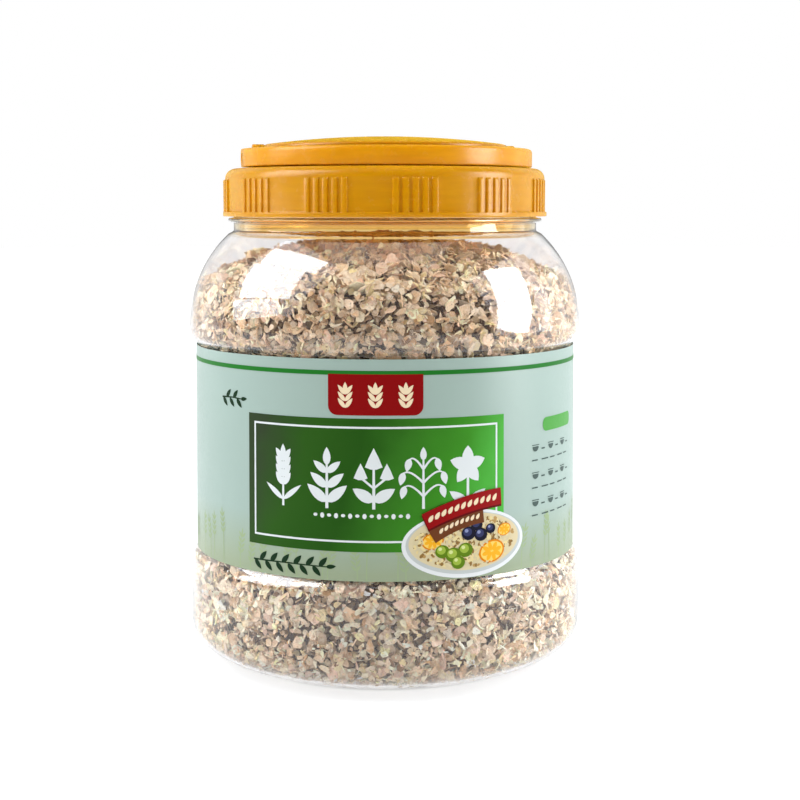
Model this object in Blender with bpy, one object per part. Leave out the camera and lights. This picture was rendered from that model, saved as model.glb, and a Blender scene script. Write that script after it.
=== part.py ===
"""A shut clear plastic jar full of cereal flakes, with a yellow screw lid and a carry handle.

Units are metres, +Z up. The origin is on the jar's axis, in the plane that it stands on, and
the front of the label faces -Y. The handle lies folded round the front of the lid.
"""

import math
import random

import bmesh
import bpy
from mathutils import Matrix, Vector

MM = 0.001

# The jar's outer face, as radii and heights
FOOT_RADIUS = 46 * MM
FOOT_INNER_RADIUS = 38 * MM
PUNT_RISE = 4 * MM
LOWER_BULGE_RADIUS = 75.7 * MM
CORNER_TOP_Z = 17.5 * MM
CORNER_SQUARENESS = 0.76
PANEL_BOTTOM_Z = 43.4 * MM
PANEL_TOP_Z = 121.9 * MM
PANEL_BOTTOM_RADIUS = 72.5 * MM
PANEL_TOP_RADIUS = 71.7 * MM
UPPER_BULGE_RADIUS = 74.7 * MM
UPPER_BULGE_Z = 128.2 * MM
SHOULDER_ARC_RADIUS = 47.4 * MM
SHOULDER_TOP_Z = 162.9 * MM
WALL = 0.9 * MM

# The neck, and the bead that the lid's rim stops above
NECK_RADIUS = 57.6 * MM
NECK_INNER_RADIUS = 56.0 * MM
NECK_START_Z = 163.9 * MM
NECK_TOP_Z = 184.9 * MM
BEAD_RADIUS = 59.6 * MM
BEAD_BOTTOM_Z = 167.2 * MM
BEAD_TOP_Z = 169.0 * MM

# The lid
RIM_BOTTOM_Z = 169.4 * MM
RIM_TOP_Z = 171.3 * MM
RIM_RADIUS = 61.6 * MM
SKIRT_RADIUS = 60.7 * MM
SKIRT_INNER_RADIUS = 59.0 * MM
SKIRT_FILLET = 3.8 * MM
DECK_Z = 187.2 * MM
DECK_UNDERSIDE_Z = 185.4 * MM
DRUM_RADIUS = 46.7 * MM
DRUM_INNER_RADIUS = 45.1 * MM
DRUM_EDGE_Z = 195.2 * MM
DRUM_EDGE_ROUND = 0.9 * MM
DOME_TOP_Z = 199.3 * MM
DOME_THICKNESS = 1.7 * MM

# The grip ribs on the lid's skirt
RIB_GROUPS = 12
RIBS_PER_GROUP = 5
RIB_PITCH = math.radians(3.28)
RIB_FOOT_WIDTH = 2.3 * MM
RIB_CREST_WIDTH = 1.5 * MM
RIB_HEIGHT = 0.75 * MM
RIB_BOTTOM_Z = 171.0 * MM
RIB_TOP_Z = 183.4 * MM
LID_TURN = math.radians(10.6)

# The folding handle, and the lugs that carry its pins. The hinge line is the lid's own X axis.
HINGE_Z = 191.1 * MM
HANDLE_OUTER_RADIUS = 55.9 * MM
HANDLE_INNER_RADIUS = 48.2 * MM
HANDLE_HALF_HEIGHT = 3.4 * MM
HANDLE_EDGE_ROUND = 1.4 * MM
HANDLE_END_RADIUS = 3.6 * MM
LUG_INNER_X = 46.0 * MM
LUG_OUTER_X = 50.6 * MM
LUG_HALF_WIDTH = 3.6 * MM
LUG_TOP_Z = 196.3 * MM
LUG_CLEAR_X = 51.1 * MM
LUG_CLEAR_RADIUS = 7.4 * MM
PIN_RADIUS = 1.6 * MM
PIN_END_X = 54.4 * MM
PIN_HOLE_RADIUS = 2.0 * MM
HANDLE_FLAT_X = 54.6 * MM

# The label, a thin sleeve all the way round
LABEL_BOTTOM_Z = 43.9 * MM
LABEL_TOP_Z = 121.3 * MM
LABEL_HEIGHT = LABEL_TOP_Z - LABEL_BOTTOM_Z
LABEL_GAP = 0.35 * MM
LABEL_THICKNESS = 0.3 * MM

# The flakes: a bumpy core, with the largest flakes of its top fused on
CORE_CLEARANCE = 0.65 * MM
CORE_STEP = 6.5 * MM
CORE_BUMP = 1.6 * MM
CROWN_BUMP = 1.1 * MM
CALM_RADIUS = 24 * MM
CROWN = ((67.4, 146.4), (62, 149.4), (55, 152.9), (47, 156.0), (38, 158.4),
         (28, 159.9), (18, 160.9), (8, 161.4), (0, 161.6))
FLAKE_COUNT = 76
FLAKE_SIDES = 8
FLAKE_SIZES = (5.5 * MM, 13 * MM)
FLAKE_THICKNESS = 0.9 * MM
FLAKE_NARROWNESS = 0.8
FLAKE_TILT = math.radians(26)
FLAKE_LIFT = 0.1 * MM
FLAKE_SPREAD = 0.5
FLAKE_REACH = 60 * MM
SEED = 11

JAR_SIDES = 40
LID_SIDES = 48
HANDLE_SIDES = 64
CORE_SIDES = 50


def clear_scene():
    for old in list(bpy.data.objects):
        bpy.data.objects.remove(old)


def plain_material(name, color, roughness, transmission=0.0):
    material = bpy.data.materials.new(name)
    material.use_nodes = True
    shader = material.node_tree.nodes["Principled BSDF"]
    shader.inputs["Base Color"].default_value = (*color, 1.0)
    shader.inputs["Roughness"].default_value = roughness
    shader.inputs["Metallic"].default_value = 0.0
    shader.inputs["Transmission Weight"].default_value = transmission
    return material


def arc(center, radius, start, end, steps):
    """Points of a circle's arc in the (radius, height) plane, ends included."""
    points = []
    for i in range(steps + 1):
        angle = start + (end - start) * i / steps
        points.append((center[0] + radius * math.cos(angle), center[1] + radius * math.sin(angle)))
    return points


def new_object(name, mesh_data, material):
    mesh = bpy.data.meshes.new(name)
    bmesh.ops.recalc_face_normals(mesh_data, faces=mesh_data.faces)
    mesh_data.to_mesh(mesh)
    mesh_data.free()
    mesh.materials.append(material)
    made = bpy.data.objects.new(name, mesh)
    bpy.context.scene.collection.objects.link(made)
    return made


def smooth(made, sharp_angle=math.radians(32)):
    made.data.shade_smooth()
    made.data.set_sharp_from_angle(angle=sharp_angle)


def turned(name, profile, sides, material, closed=False):
    """A body turned round Z from (radius, height) points. A point at radius 0 is a pole."""
    shape = bmesh.new()
    rings = []
    for radius, height in profile:
        if radius == 0:
            rings.append([shape.verts.new((0, 0, height))])
            continue
        ring = []
        for i in range(sides):
            angle = 2 * math.pi * i / sides
            ring.append(shape.verts.new((radius * math.cos(angle), radius * math.sin(angle), height)))
        rings.append(ring)
    bridge_rings(shape, rings, sides, closed)
    return new_object(name, shape, material)


def bridge_rings(shape, rings, sides, closed=False):
    pairs = list(zip(rings, rings[1:]))
    if closed:
        pairs.append((rings[-1], rings[0]))
    for lower, upper in pairs:
        if len(lower) == len(upper) == 1:
            continue
        for i in range(sides):
            j = (i + 1) % sides
            corners = [lower[i % len(lower)], lower[j % len(lower)],
                       upper[j % len(upper)], upper[i % len(upper)]]
            shape.faces.new(list(dict.fromkeys(corners)))


def moved_inward(profile, distance):
    """The profile of a body of revolution, moved square to itself towards the inside."""
    moved = []
    for i, (radius, height) in enumerate(profile):
        before = Vector(profile[max(i - 1, 0)])
        after = Vector(profile[min(i + 1, len(profile) - 1)])
        along = (after - before).normalized()
        moved.append((radius - along.y * distance, height + along.x * distance))
    return moved


def fuse(body, pieces):
    """Joins the pieces to the body with one union, and removes them."""
    group = bpy.data.collections.new(body.name + "_pieces")
    bpy.context.scene.collection.children.link(group)
    for piece in pieces:
        group.objects.link(piece)
        bpy.context.scene.collection.objects.unlink(piece)
    union = body.modifiers.new("union", "BOOLEAN")
    union.operation = "UNION"
    union.operand_type = "COLLECTION"
    union.solver = "EXACT"
    union.collection = group
    apply_modifiers(body)
    for piece in pieces:
        bpy.data.objects.remove(piece)
    bpy.data.collections.remove(group)


def combine(body, tool, operation):
    """Cuts the body with the tool, or keeps what both share, and removes the tool."""
    modifier = body.modifiers.new(operation.lower(), "BOOLEAN")
    modifier.operation = operation
    modifier.solver = "EXACT"
    modifier.object = tool
    apply_modifiers(body)
    bpy.data.objects.remove(tool)


def apply_modifiers(body):
    graph = bpy.context.evaluated_depsgraph_get()
    mesh = bpy.data.meshes.new_from_object(body.evaluated_get(graph))
    body.modifiers.clear()
    body.data = mesh


def rod(name, radius, start_x, end_x, y, z, sides, material):
    """A round rod along X."""
    shape = bmesh.new()
    ends = []
    for x in (start_x, end_x):
        ring = []
        for i in range(sides):
            angle = 2 * math.pi * (i + 0.5) / sides
            ring.append(shape.verts.new((x, y + radius * math.cos(angle), z + radius * math.sin(angle))))
        ends.append(ring)
        shape.faces.new(ring)
    bridge_rings(shape, ends, sides)
    return new_object(name, shape, material)


def extruded_along_x(name, outline, start_x, end_x, material):
    """A prism along X whose section is an outline of (y, z) points."""
    shape = bmesh.new()
    ends = []
    for x in (start_x, end_x):
        ring = [shape.verts.new((x, y, z)) for y, z in outline]
        ends.append(ring)
        shape.faces.new(ring)
    bridge_rings(shape, ends, len(outline))
    return new_object(name, shape, material)


def corner_profile():
    """The round corner from the foot to the lower bulge, flatter near the foot than an ellipse."""
    steps = 5
    points = []
    for i in range(steps + 1):
        angle = math.pi / 2 * (1 - i / steps)
        radius = FOOT_RADIUS + (LOWER_BULGE_RADIUS - FOOT_RADIUS) * math.cos(angle)
        height = CORNER_TOP_Z * (1 - math.sin(angle) ** CORNER_SQUARENESS)
        points.append((radius, height))
    return points


def shoulder_profile():
    """The arc from the upper bulge to the foot of the neck."""
    center = (UPPER_BULGE_RADIUS - SHOULDER_ARC_RADIUS, UPPER_BULGE_Z)
    last = math.asin((SHOULDER_TOP_Z - UPPER_BULGE_Z) / SHOULDER_ARC_RADIUS)
    return arc(center, SHOULDER_ARC_RADIUS, 0, last, 5)


def wall_profile():
    """The jar's outer face from the foot ring to the top of the shoulder."""
    lower_side = [
        (LOWER_BULGE_RADIUS, PANEL_BOTTOM_Z - 11 * MM),
        (LOWER_BULGE_RADIUS - 0.7 * MM, PANEL_BOTTOM_Z - 2.6 * MM),
    ]
    panel = [
        (PANEL_BOTTOM_RADIUS, PANEL_BOTTOM_Z),
        (PANEL_TOP_RADIUS, PANEL_TOP_Z),
    ]
    upper_side = [(UPPER_BULGE_RADIUS - 0.7 * MM, PANEL_TOP_Z + 2 * MM)]
    return corner_profile() + lower_side + panel + upper_side + shoulder_profile()


def punt_profile(lift=0.0):
    """The hollow under the base, from its middle to the foot ring."""
    return [
        (0, PUNT_RISE + lift),
        (FOOT_INNER_RADIUS * 0.6, PUNT_RISE * 0.62 + lift),
        (FOOT_INNER_RADIUS, lift),
    ]


def make_jar(material):
    neck = [
        (NECK_RADIUS, NECK_START_Z),
        (NECK_RADIUS, BEAD_BOTTOM_Z),
        (BEAD_RADIUS, BEAD_BOTTOM_Z + 0.3 * MM),
        (BEAD_RADIUS, BEAD_TOP_Z - 0.3 * MM),
        (NECK_RADIUS, BEAD_TOP_Z),
        (NECK_RADIUS, NECK_TOP_Z),
        (NECK_INNER_RADIUS, NECK_TOP_Z),
        (NECK_INNER_RADIUS, NECK_START_Z),
    ]
    inner_wall = moved_inward(wall_profile()[1:-1], WALL)
    inner_foot = [(FOOT_RADIUS, WALL)]
    profile = punt_profile() + wall_profile() + neck + inner_wall[::-1] + inner_foot
    return turned("jar", profile + punt_profile(WALL)[::-1], JAR_SIDES, material)


def label_radius(height):
    """The jar's recessed panel is very slightly conical, and the label follows it."""
    share = (height - PANEL_BOTTOM_Z) / (PANEL_TOP_Z - PANEL_BOTTOM_Z)
    return PANEL_BOTTOM_RADIUS + (PANEL_TOP_RADIUS - PANEL_BOTTOM_RADIUS) * share


def make_label(material):
    inner_bottom = label_radius(LABEL_BOTTOM_Z) + LABEL_GAP
    inner_top = label_radius(LABEL_TOP_Z) + LABEL_GAP
    profile = [
        (inner_bottom, LABEL_BOTTOM_Z),
        (inner_bottom + LABEL_THICKNESS, LABEL_BOTTOM_Z),
        (inner_top + LABEL_THICKNESS, LABEL_TOP_Z),
        (inner_top, LABEL_TOP_Z),
    ]
    return turned("label", profile, JAR_SIDES, material, closed=True)


def dome_profile(top, edge_radius, edge_height, steps):
    """A shallow round cap from its edge to its top."""
    rise = top - edge_height
    cap_radius = (edge_radius ** 2 + rise ** 2) / (2 * rise)
    edge_angle = math.asin(edge_radius / cap_radius)
    points = []
    for i in range(steps):
        angle = edge_angle * (1 - i / steps)
        points.append((cap_radius * math.sin(angle), top - cap_radius * (1 - math.cos(angle))))
    return points + [(0, top)]


def lid_profile():
    fillet_center = (SKIRT_RADIUS - SKIRT_FILLET, DECK_Z - SKIRT_FILLET)
    drum_center = (DRUM_RADIUS - DRUM_EDGE_ROUND, DRUM_EDGE_Z)
    outside = [
        (SKIRT_INNER_RADIUS, RIM_BOTTOM_Z),
        (RIM_RADIUS, RIM_BOTTOM_Z),
        (RIM_RADIUS, RIM_TOP_Z - 0.3 * MM),
        (SKIRT_RADIUS, RIM_TOP_Z),
    ]
    outside += arc(fillet_center, SKIRT_FILLET, 0, math.pi / 2, 4)
    outside += [(DRUM_RADIUS, DECK_Z)]
    outside += arc(drum_center, DRUM_EDGE_ROUND, 0, math.pi / 2, 2)
    outside += dome_profile(DOME_TOP_Z, DRUM_RADIUS - 1.6 * MM, DRUM_EDGE_Z + 1.1 * MM, 4)
    inside = dome_profile(DOME_TOP_Z - DOME_THICKNESS, DRUM_INNER_RADIUS, DRUM_EDGE_Z - 0.8 * MM, 3)
    inside = inside[::-1]
    inside += [
        (DRUM_INNER_RADIUS, DECK_UNDERSIDE_Z),
        (SKIRT_INNER_RADIUS, DECK_UNDERSIDE_Z),
    ]
    return outside + inside


def make_rib(angle, material):
    """One grip rib, sunk into the skirt and narrower at its crest."""
    shape = bmesh.new()
    ends = []
    root = SKIRT_RADIUS - 0.6 * MM
    crest = SKIRT_RADIUS + RIB_HEIGHT
    slope = RIB_HEIGHT * 0.8
    for height, crest_height in ((RIB_BOTTOM_Z, RIB_BOTTOM_Z), (RIB_TOP_Z, RIB_TOP_Z - slope)):
        ring = [
            shape.verts.new((root, -RIB_FOOT_WIDTH / 2, height)),
            shape.verts.new((crest, -RIB_CREST_WIDTH / 2, crest_height)),
            shape.verts.new((crest, RIB_CREST_WIDTH / 2, crest_height)),
            shape.verts.new((root, RIB_FOOT_WIDTH / 2, height)),
        ]
        ends.append(ring)
        shape.faces.new(ring)
    bridge_rings(shape, ends, 4)
    shape.transform(Matrix.Rotation(angle, 4, "Z"))
    return new_object("rib", shape, material)


def make_ribs(material):
    """Groups of ribs all round. One group is centred on the lid's front, at -Y."""
    ribs = []
    for group in range(RIB_GROUPS):
        middle = -math.pi / 2 + 2 * math.pi * group / RIB_GROUPS
        for i in range(RIBS_PER_GROUP):
            offset = (i - (RIBS_PER_GROUP - 1) / 2) * RIB_PITCH
            ribs.append(make_rib(middle + offset, material))
    return ribs


def lug_outline():
    """A post with a round top, as (y, z) points, which starts inside the lid's deck."""
    top_center = (0, LUG_TOP_Z - LUG_HALF_WIDTH)
    sink = DECK_Z - 0.7 * MM
    return [(-LUG_HALF_WIDTH, sink), (LUG_HALF_WIDTH, sink)] + arc(
        top_center, LUG_HALF_WIDTH, 0, math.pi, 8)


def make_lugs(material):
    """A lug with its pin at each end of the hinge line."""
    pieces = []
    for side in (-1, 1):
        lug = extruded_along_x("lug", lug_outline(), side * LUG_INNER_X, side * LUG_OUTER_X, material)
        pin = rod("pin", PIN_RADIUS, side * (LUG_OUTER_X - 2 * MM), side * PIN_END_X,
                  0, HINGE_Z, 12, material)
        pieces += [lug, pin]
    return pieces


def make_lid(material):
    lid = turned("lid", lid_profile(), LID_SIDES, material, closed=True)
    fuse(lid, make_ribs(material) + make_lugs(material))
    lid.rotation_euler.z = LID_TURN
    return lid


def handle_ring_profile():
    """The band's section: square below, round at its top outer edge."""
    bottom = HINGE_Z - HANDLE_HALF_HEIGHT
    top = HINGE_Z + HANDLE_HALF_HEIGHT
    edge_center = (HANDLE_OUTER_RADIUS - HANDLE_EDGE_ROUND, top - HANDLE_EDGE_ROUND)
    return [
        (HANDLE_INNER_RADIUS, bottom),
        (HANDLE_OUTER_RADIUS - 0.4 * MM, bottom),
        (HANDLE_OUTER_RADIUS, bottom + 0.4 * MM),
        *arc(edge_center, HANDLE_EDGE_ROUND, 0, math.pi / 2, 3),
        (HANDLE_INNER_RADIUS, top),
    ]


def handle_reach_outline():
    """Seen along the hinge line: all that lies in front of the pins, with a round end at them."""
    front = -HANDLE_OUTER_RADIUS - 5 * MM
    end = arc((0, HINGE_Z), HANDLE_END_RADIUS, -math.pi / 2, math.pi / 2, 10)
    return [(front, end[-1][1]), (front, end[0][1])] + end


def make_handle(material):
    handle = turned("handle", handle_ring_profile(), HANDLE_SIDES, material, closed=True)
    reach = extruded_along_x("reach", handle_reach_outline(),
                             -HANDLE_FLAT_X, HANDLE_FLAT_X, material)
    combine(handle, reach, "INTERSECT")
    lug_room = rod("lug_room", LUG_CLEAR_RADIUS, -LUG_CLEAR_X, LUG_CLEAR_X, 0, HINGE_Z, 24, material)
    combine(handle, lug_room, "DIFFERENCE")
    hole = rod("pin_hole", PIN_HOLE_RADIUS, -RIM_RADIUS, RIM_RADIUS, 0, HINGE_Z, 12, material)
    combine(handle, hole, "DIFFERENCE")
    handle.data.transform(Matrix.Translation((0, 0, -HINGE_Z)))
    hinge = bpy.data.objects.new("handle_hinge", None)
    bpy.context.scene.collection.objects.link(hinge)
    hinge.location.z = HINGE_Z
    hinge.rotation_euler.z = LID_TURN
    handle.parent = hinge
    return handle


def crown_height(radius):
    """The height of the heap's top at a radius, without its bumps."""
    for (outer, low), (inner, high) in zip(CROWN, CROWN[1:]):
        if radius >= inner * MM:
            share = (radius / MM - inner) / (outer - inner)
            return (high + (low - high) * share) * MM
    return CROWN[-1][1] * MM


def core_side_profile():
    """The heap's side, which follows the inside of the jar up to the edge of its top."""
    points = moved_inward(wall_profile()[1:], WALL + CORE_CLEARANCE)
    edge_height = CROWN[0][1] * MM
    side = [points[0]]
    for lower, upper in zip(points, points[1:]):
        behind_label = upper[1] - lower[1] > LABEL_HEIGHT * 0.9
        steps = 3 if behind_label else max(1, round(math.dist(lower, upper) / CORE_STEP))
        for i in range(1, steps + 1):
            share = i / steps
            side.append((lower[0] + (upper[0] - lower[0]) * share,
                         lower[1] + (upper[1] - lower[1]) * share))
    return [point for point in side if point[1] < edge_height - 2 * MM]


def make_core(material, rng):
    """The heap's body. Its bumps are as wide as a flake, and only go inward from the wall."""
    base_z = WALL + CORE_CLEARANCE
    base = [(0, base_z + PUNT_RISE), (FOOT_INNER_RADIUS * 0.6, base_z + PUNT_RISE * 0.62),
            (FOOT_INNER_RADIUS, base_z)]
    side = core_side_profile()
    crown = [(radius * MM, height * MM) for radius, height in CROWN]
    shape = bmesh.new()
    rings = []
    for radius, height in base + side + crown:
        if radius == 0:
            rings.append([shape.verts.new((0, 0, height))])
            continue
        on_crown = height > side[-1][1]
        hidden = LABEL_BOTTOM_Z < height < LABEL_TOP_Z or height <= base_z + PUNT_RISE
        crown_bump = CROWN_BUMP * min(1, radius / CALM_RADIUS)
        ring = []
        for i in range(CORE_SIDES):
            angle = 2 * math.pi * i / CORE_SIDES
            inward = 0 if hidden else CORE_BUMP * rng.random()
            down = crown_bump * (2 * rng.random() - 1) if on_crown else 0
            if on_crown:
                angle += rng.uniform(-0.3, 0.3) * 2 * math.pi / CORE_SIDES
            at = radius - inward
            ring.append(shape.verts.new((at * math.cos(angle), at * math.sin(angle), height - down)))
        rings.append(ring)
    bridge_rings(shape, rings, CORE_SIDES)
    return new_object("flakes", shape, material)


def make_flake(size, place, tilt, turn, material, rng):
    """One flat flake with an uneven rim."""
    shape = bmesh.new()
    rim = []
    for i in range(FLAKE_SIDES):
        angle = 2 * math.pi * i / FLAKE_SIDES
        radius = size / 2 * rng.uniform(0.8, 1.05)
        rim.append((radius * math.cos(angle), FLAKE_NARROWNESS * radius * math.sin(angle)))
    ends = []
    for height in (-FLAKE_THICKNESS / 2, FLAKE_THICKNESS / 2):
        end = [shape.verts.new((x, y, height)) for x, y in rim]
        ends.append(end)
        shape.faces.new(end)
    bridge_rings(shape, ends, FLAKE_SIDES)
    turned_round = Matrix.Rotation(turn, 4, "Z")
    tilted = Matrix.Rotation(tilt, 4, Vector((math.cos(turn * 3), math.sin(turn * 3), 0)))
    shape.transform(Matrix.Translation(place) @ tilted @ turned_round)
    return new_object("flake", shape, material)


def drop_scraps(body):
    """Removes every loose shell but the largest, such as a flake that nothing touches."""
    shape = bmesh.new()
    shape.from_mesh(body.data)
    unseen = set(shape.verts)
    shells = []
    while unseen:
        reached = {unseen.pop()}
        edge_of_shell = list(reached)
        while edge_of_shell:
            for edge in edge_of_shell.pop().link_edges:
                for vert in edge.verts:
                    if vert in unseen:
                        unseen.remove(vert)
                        reached.add(vert)
                        edge_of_shell.append(vert)
        shells.append(reached)
    largest = max(shells, key=len)
    loose = [vert for vert in shape.verts if vert not in largest]
    bmesh.ops.delete(shape, geom=loose, context="VERTS")
    shape.to_mesh(body.data)
    shape.free()


def flake_places(rng):
    """Sizes and places of the fused flakes, the largest first, spread evenly over the top."""
    smallest, largest = FLAKE_SIZES
    placed = []
    for i in range(FLAKE_COUNT):
        size = largest + (smallest - largest) * (i / FLAKE_COUNT) ** 0.5
        for _ in range(60):
            radius = FLAKE_REACH * math.sqrt(rng.random())
            angle = rng.uniform(0, 2 * math.pi)
            spot = Vector((radius * math.cos(angle), radius * math.sin(angle), 0))
            near = [1 for other, at in placed if (at - spot).length < FLAKE_SPREAD * (other + size)]
            if not near:
                placed.append((size, spot))
                break
    return placed


def make_flakes(material):
    rng = random.Random(SEED)
    heap = make_core(material, rng)
    pieces = []
    for size, spot in flake_places(rng):
        spot.z = crown_height(spot.length) + FLAKE_LIFT
        tilt = rng.uniform(0.3, 1) * FLAKE_TILT
        pieces.append(make_flake(size, spot, tilt, rng.uniform(0, 2 * math.pi), material, rng))
    fuse(heap, pieces)
    drop_scraps(heap)
    return heap


def main():
    clear_scene()
    clear_plastic = plain_material("clear_plastic", (0.95, 0.96, 0.97), 0.05, transmission=1.0)
    yellow_plastic = plain_material("yellow_plastic", (0.86, 0.52, 0.03), 0.3)
    mint_print = plain_material("mint_print", (0.55, 0.72, 0.64), 0.35)
    flake_tan = plain_material("flake_tan", (0.62, 0.49, 0.33), 0.8)

    for made in (make_jar(clear_plastic), make_label(mint_print), make_lid(yellow_plastic),
                 make_handle(yellow_plastic)):
        smooth(made)
    make_flakes(flake_tan)


main()
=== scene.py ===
"""The looks of a shut clear jar of grain flakes with a yellow screw lid, a carry handle and a mint label.

Metres, +Z up. The jar's axis is Z, its front is at -Y, and it stands on the floor at Z = 0.
"""

from math import asin, cos, floor, hypot, pi, radians, sin

import bmesh
import bpy
import numpy as np
from mathutils import Matrix, Quaternion, Vector

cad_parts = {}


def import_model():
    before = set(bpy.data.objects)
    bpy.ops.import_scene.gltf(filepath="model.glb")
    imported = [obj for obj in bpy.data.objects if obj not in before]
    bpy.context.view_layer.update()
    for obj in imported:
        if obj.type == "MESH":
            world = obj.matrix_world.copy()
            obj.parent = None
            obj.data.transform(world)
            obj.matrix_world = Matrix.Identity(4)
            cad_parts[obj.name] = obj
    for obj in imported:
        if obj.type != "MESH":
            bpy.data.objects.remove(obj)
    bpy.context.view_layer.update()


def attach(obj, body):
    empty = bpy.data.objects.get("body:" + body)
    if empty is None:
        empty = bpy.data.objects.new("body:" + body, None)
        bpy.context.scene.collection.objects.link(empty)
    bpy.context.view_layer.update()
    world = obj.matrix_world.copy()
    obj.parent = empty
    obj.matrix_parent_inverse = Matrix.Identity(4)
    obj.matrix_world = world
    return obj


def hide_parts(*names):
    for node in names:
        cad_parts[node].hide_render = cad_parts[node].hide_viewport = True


MM = 0.001

# The jar, in millimetres, as are the sizes after it. Its points are (radius, height).
FOOT_RADIUS = 46
FOOT_INNER_RADIUS = 38
PUNT_RISE = 4
LOWER_BULGE_RADIUS = 75.7
CORNER_TOP_Z = 17.5
CORNER_SQUARENESS = 0.76
PANEL_BOTTOM = (72.5, 43.4)
PANEL_TOP = (71.7, 121.9)
UPPER_BULGE = (74.7, 128.2)
SHOULDER_ARC_RADIUS = 47.4
SHOULDER_TOP_Z = 162.9
WALL = 0.9
NECK_RADIUS = 57.6
NECK_INNER_RADIUS = 56.0
NECK_START_Z = 163.9
NECK_TOP_Z = 184.9
BEAD_RADIUS = 59.6
BEAD_Z = (167.2, 169.0)

# The screw lid. A rib's section is points of (way across, height).
RIM_RADIUS = 61.6
RIM_Z = (169.4, 171.3)
SKIRT_RADIUS = 60.7
SKIRT_INNER_RADIUS = 59.0
SKIRT_FILLET = 3.8
DECK_Z = 187.2
DECK_UNDERSIDE_Z = 185.4
DRUM_RADIUS = 46.7
DRUM_INNER_RADIUS = 45.1
DRUM_EDGE_Z = 195.2
DOME_TOP_Z = 199.3
DOME_THICKNESS = 1.7
RIB_GROUPS = 12
RIBS_PER_GROUP = 5
RIB_PITCH = radians(3.28)
RIB_SECTION = ((-1.4, 0), (-1.15, 0.06), (-0.87, 0.66), (-0.6, 0.75), (0, 0.75),
               (0.6, 0.75), (0.87, 0.66), (1.15, 0.06), (1.4, 0))
RIB_TOP_Z = 183.4
LID_TURN = radians(10.6)

# The handle, which is a flat-sided half ring, and the lid's lugs and pins.
HINGE_Z = 191.1
HANDLE_RADII = (48.2, 55.9)
HANDLE_HALF_HEIGHT = 3.4
HANDLE_END_RADIUS = 3.6
HANDLE_FLAT_X = 54.6
LUG_X = (46.0, 50.6)
LUG_HALF_WIDTH = 3.6
LUG_TOP_Z = 196.3
LUG_CLEAR_X = 51.1
LUG_CLEAR_RADIUS = 7.4
PIN_RADIUS = 1.6
PIN_END_X = 54.4
PIN_HOLE_RADIUS = 2.0

# The label and its print, which is cut into strips and lifted a step for each layer.
LABEL_Z = (43.9, 121.3)
LABEL_GAP = 0.35
LABEL_THICKNESS = 0.3
PRINT_RADIUS = 72.75
PRINT_LIFT = 0.02
PRINT_STRIP = 2
AROUND = pi * PRINT_RADIUS

# The heap's top as (radius, height) points, and how far the flakes reach and lie deep.
CROWN = ((67.4, 146.4), (62, 149.4), (55, 152.9), (47, 156.0), (38, 158.4),
         (28, 159.9), (18, 160.9), (8, 161.4), (0, 161.6))
CROWN_REACH = 68.5
CORE_DEPTH = 3.6
CREST_Z = 163.2
WALL_REACH = 0.25
SEED = 23

# The neck's painted amber light from the lid, as the heights in metres where it fades in and out, and its
# colour.
PAINTED_LID_LIGHT_START = (0.1618, 0.1634)
PAINTED_LID_LIGHT_END = (0.1688, 0.1700)
PAINTED_LID_LIGHT = (0.84, 0.61, 0.25, 1)
CLEAR = (0.968, 0.96, 0.966, 1)
# The colour of the lid's painted inner glow.
PAINTED_LID_GLOW = (1.0, 0.55, 0.1, 1)

# Where the painted glow inside the lid fades out, as radii and heights in metres.
GLOW_WITHIN = (0.0592, 0.0596)
GLOW_BELOW = (0.1858, 0.1862)

# The heights in metres between which the label turns from its lower green to mint.
LOW_GREEN = (0.046, 0.066)

# The lamps' colours, and the height in metres that they aim at.
COOL = (0.915, 0.985, 1.1)
WHITE = (1.0, 1.0, 1.0)
AIM_HEIGHT = 0.13

CAMERA_AT = (5.74, -609.2, 173.6)
CAMERA_PITCH = 0.1227
FOCAL_PIXELS = 1580
FRAME_PIXELS = 800
SENSOR_MM = 36


# Colour and node helpers


def srgb(*values):
    """A linear colour from the 0 to 255 values of a screen colour."""
    shares = [value / 255 for value in values]
    return (*(s / 12.92 if s <= 0.04045 else ((s + 0.055) / 1.055) ** 2.4 for s in shares), 1.0)


def node(tree, kind, inputs=None, **settings):
    """A new node. Its inputs are values, or outputs of other nodes to link."""
    made = tree.nodes.new("ShaderNode" + kind)
    for name, value in settings.items():
        setattr(made, name, value)
    for name, value in (inputs or {}).items():
        if isinstance(value, bpy.types.NodeSocket):
            tree.links.new(value, made.inputs[name])
        else:
            made.inputs[name].default_value = value
    return made


def feed(shader, socket, value):
    shader.id_data.links.new(value, shader.inputs[socket])


def new_material(name, inputs):
    """A material with its tree, its shader and the place on the object for its textures."""
    material = bpy.data.materials.new(name)
    material.use_nodes = True
    tree = material.node_tree
    shader = tree.nodes["Principled BSDF"]
    for socket, value in inputs.items():
        shader.inputs[socket].default_value = value
    return material, tree, shader, node(tree, "TexCoord").outputs["Object"]


def axes(tree, place):
    return node(tree, "SeparateXYZ", {"Vector": place}).outputs


def distance_of(tree, vector):
    return node(tree, "VectorMath", {0: vector}, operation="LENGTH").outputs["Value"]


def calculated(tree, operation, *values):
    """What a math node makes of numbers or of outputs of other nodes."""
    return node(tree, "Math", dict(enumerate(values)), operation=operation).outputs[0]


def noise(tree, place, scale, detail=2.0, roughness=0.5):
    inputs = {"Vector": place, "Scale": scale, "Detail": detail, "Roughness": roughness}
    return node(tree, "TexNoise", inputs).outputs["Fac"]


def remapped(tree, value, low, high, to_low, to_high):
    inputs = {"Value": value, "From Min": low, "From Max": high, "To Min": to_low, "To Max": to_high}
    return node(tree, "MapRange", inputs).outputs["Result"]


def mixed(tree, factor, first, second):
    made = node(tree, "Mix", data_type="RGBA")
    for socket, value in (("Factor_Float", factor), ("A_Color", first), ("B_Color", second)):
        target = next(s for s in made.inputs if s.identifier == socket)
        if isinstance(value, bpy.types.NodeSocket):
            tree.links.new(value, target)
        else:
            target.default_value = value
    return next(s for s in made.outputs if s.identifier == "Result_Color")


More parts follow.
